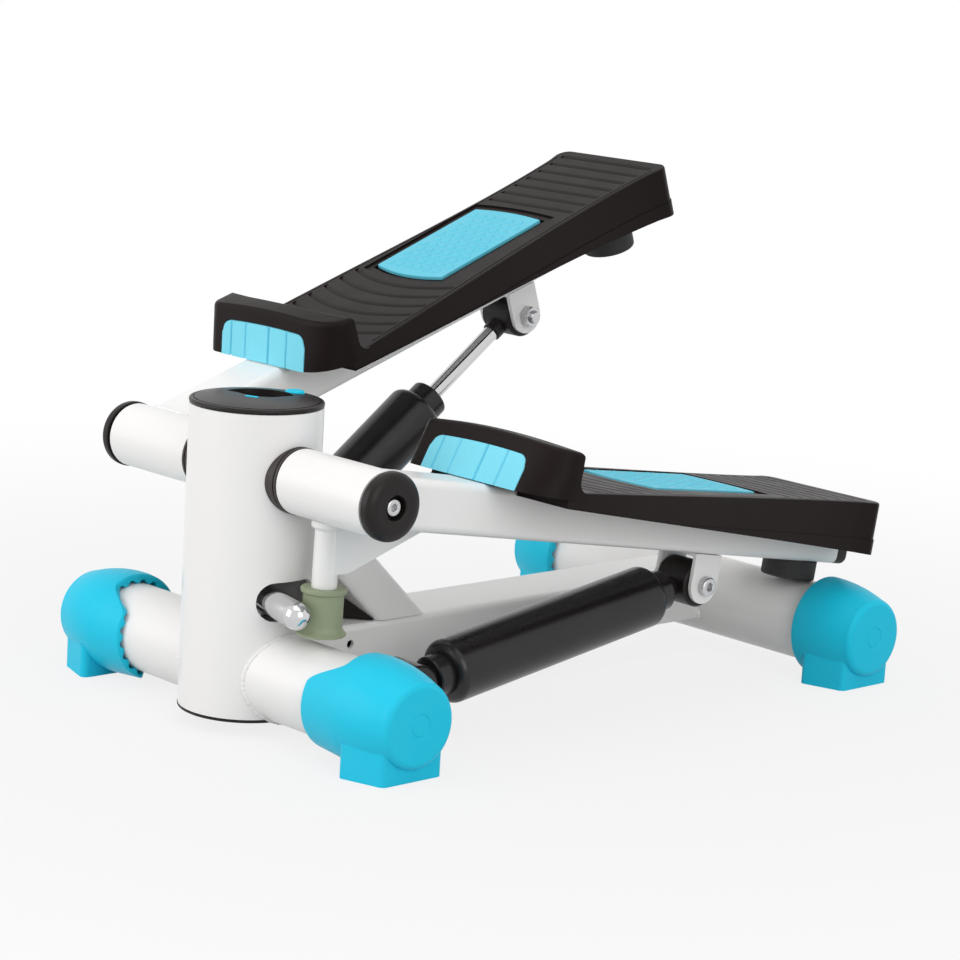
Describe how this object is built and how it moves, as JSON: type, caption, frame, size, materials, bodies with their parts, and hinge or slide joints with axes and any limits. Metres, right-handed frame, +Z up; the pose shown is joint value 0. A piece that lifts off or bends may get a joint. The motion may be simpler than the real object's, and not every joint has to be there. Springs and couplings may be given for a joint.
{
  "type": "mini stepper",
  "caption": "White steel mini stepper with two linked pedals on side dampers, dark footplates with cyan treads, cyan feet and a small counter on its column.",
  "frame": {"origin": "on the floor under the middle of the outline", "axes": "+Z up, +Y from the column towards the rear cross tube and the user's heels, +X to the left of a user who stands on the pedals and faces the column"},
  "size_m": [0.302, 0.4457, 0.3069],
  "materials": {
    "white_paint": "smooth white powder coat",
    "black_plastic": "moulded, fine grain",
    "black_paint": "satin black paint",
    "black_rubber": "solid, matt",
    "footplate_plastic": "satin, brownish black",
    "cyan_plastic": "moulded, satin",
    "cyan_tread": "dimpled anti-slip surface",
    "cyan_button": "smooth",
    "khaki_sleeve": "smooth low-friction plastic",
    "chrome": "polished",
    "zinc_steel": "zinc plated",
    "display_window": "smooth dark window"
  },
  "bodies": {
    "frame": {"column_tube": "white_paint", "column_base_cap": "black_plastic", "console_housing": "black_plastic", "console_display": "display_window", "front_tube_left": "white_paint", "front_tube_right": "white_paint", "rear_cross_tube": "white_paint", "main_beam": "white_paint", "column_brace": "white_paint", "rocker_guard": "black_plastic", "front_left_foot": "cyan_plastic", "front_right_foot": "cyan_plastic", "rear_left_foot": "cyan_plastic", "rear_right_foot": "cyan_plastic", "pivot_shaft": "zinc_steel", "left_pivot_spacer": "black_plastic", "right_pivot_spacer": "black_plastic", "left_end_cap": "black_plastic", "right_end_cap": "black_plastic", "left_end_bolt": "zinc_steel", "right_end_bolt": "zinc_steel", "rocker_shelf": "zinc_steel", "rocker_pin": "zinc_steel", "left_damper_lug": "black_paint", "right_damper_lug": "black_paint", "left_lower_bolt": "zinc_steel", "right_lower_bolt": "zinc_steel"},
    "button": {"console_button": "cyan_button"},
    "rocker": {"rocker_bar": "chrome", "rocker_hub": "zinc_steel"},
    "left_arm": {"left_pivot_tube": "white_paint", "left_pivot_bush": "black_plastic", "left_arm_tube": "white_paint", "left_arm_bracket": "white_paint", "left_upper_bolt": "zinc_steel", "left_arm_end_plug": "black_plastic", "left_bumper": "black_rubber", "left_post": "white_paint", "left_post_sleeve": "khaki_sleeve", "left_footplate": "footplate_plastic", "left_tread_pad": "cyan_tread", "left_toe_panel": "cyan_plastic"},
    "right_arm": {"right_pivot_tube": "white_paint", "right_pivot_bush": "black_plastic", "right_arm_tube": "white_paint", "right_arm_bracket": "white_paint", "right_upper_bolt": "zinc_steel", "right_arm_end_plug": "black_plastic", "right_bumper": "black_rubber", "right_post": "white_paint", "right_post_sleeve": "khaki_sleeve", "right_footplate": "footplate_plastic", "right_tread_pad": "cyan_tread", "right_toe_panel": "cyan_plastic"},
    "left_cylinder": {"left_damper_cylinder": "black_paint"},
    "left_rod": {"left_damper_rod": "chrome", "left_rod_bush": "black_plastic"},
    "right_cylinder": {"right_damper_cylinder": "black_paint"},
    "right_rod": {"right_damper_rod": "chrome", "right_rod_bush": "black_plastic"}
  },
  "joints": [
    {"name": "left_pedal", "type": "hinge", "parent": "frame", "child": "left_arm", "pos_m": [0, -0.1846, 0.146], "axis": [1, 0, 0], "range_deg": [0, 28.9]},
    {"name": "right_pedal", "type": "hinge", "parent": "frame", "child": "right_arm", "pos_m": [0, -0.1846, 0.146], "axis": [1, 0, 0], "range_deg": [-28.9, 0]},
    {"name": "rocker_turn", "type": "hinge", "parent": "frame", "child": "rocker", "pos_m": [0, -0.1846, 0.077], "axis": [0, 0, 1], "range_deg": [0, 32.01]},
    {"name": "left_damper_tilt", "type": "hinge", "parent": "frame", "child": "left_cylinder", "pos_m": [0.0862, -0.1399, 0.032], "axis": [1, 0, 0], "range_deg": [0, 29.01]},
    {"name": "right_damper_tilt", "type": "hinge", "parent": "frame", "child": "right_cylinder", "pos_m": [-0.0862, -0.1399, 0.032], "axis": [1, 0, 0], "range_deg": [-27.86, 0]},
    {"name": "left_damper_stroke", "type": "slide", "parent": "left_cylinder", "child": "left_rod", "axis": [0, 0.9877, 0.1564], "range_m": [0, 0.0612]},
    {"name": "right_damper_stroke", "type": "slide", "parent": "right_cylinder", "child": "right_rod", "axis": [0, 0.7937, 0.6083], "range_m": [-0.0612, 0]},
    {"name": "button_press", "type": "slide", "parent": "frame", "child": "button", "axis": [0, 0, -1], "range_m": [0, 0.0012], "stiffness_N_per_m": 400}
  ],
  "couplings": [
    {"joint": "right_pedal", "follows": "left_pedal", "ratio": -1},
    {"joint": "rocker_turn", "follows": "left_pedal", "ratio": 1.1074},
    {"joint": "left_damper_tilt", "follows": "left_pedal", "ratio": 1.0034},
    {"joint": "right_damper_tilt", "follows": "left_pedal", "ratio": -0.9637},
    {"joint": "left_damper_stroke", "follows": "left_pedal", "m_per_rad": 0.1211},
    {"joint": "right_damper_stroke", "follows": "left_pedal", "m_per_rad": -0.1211}
  ]
}
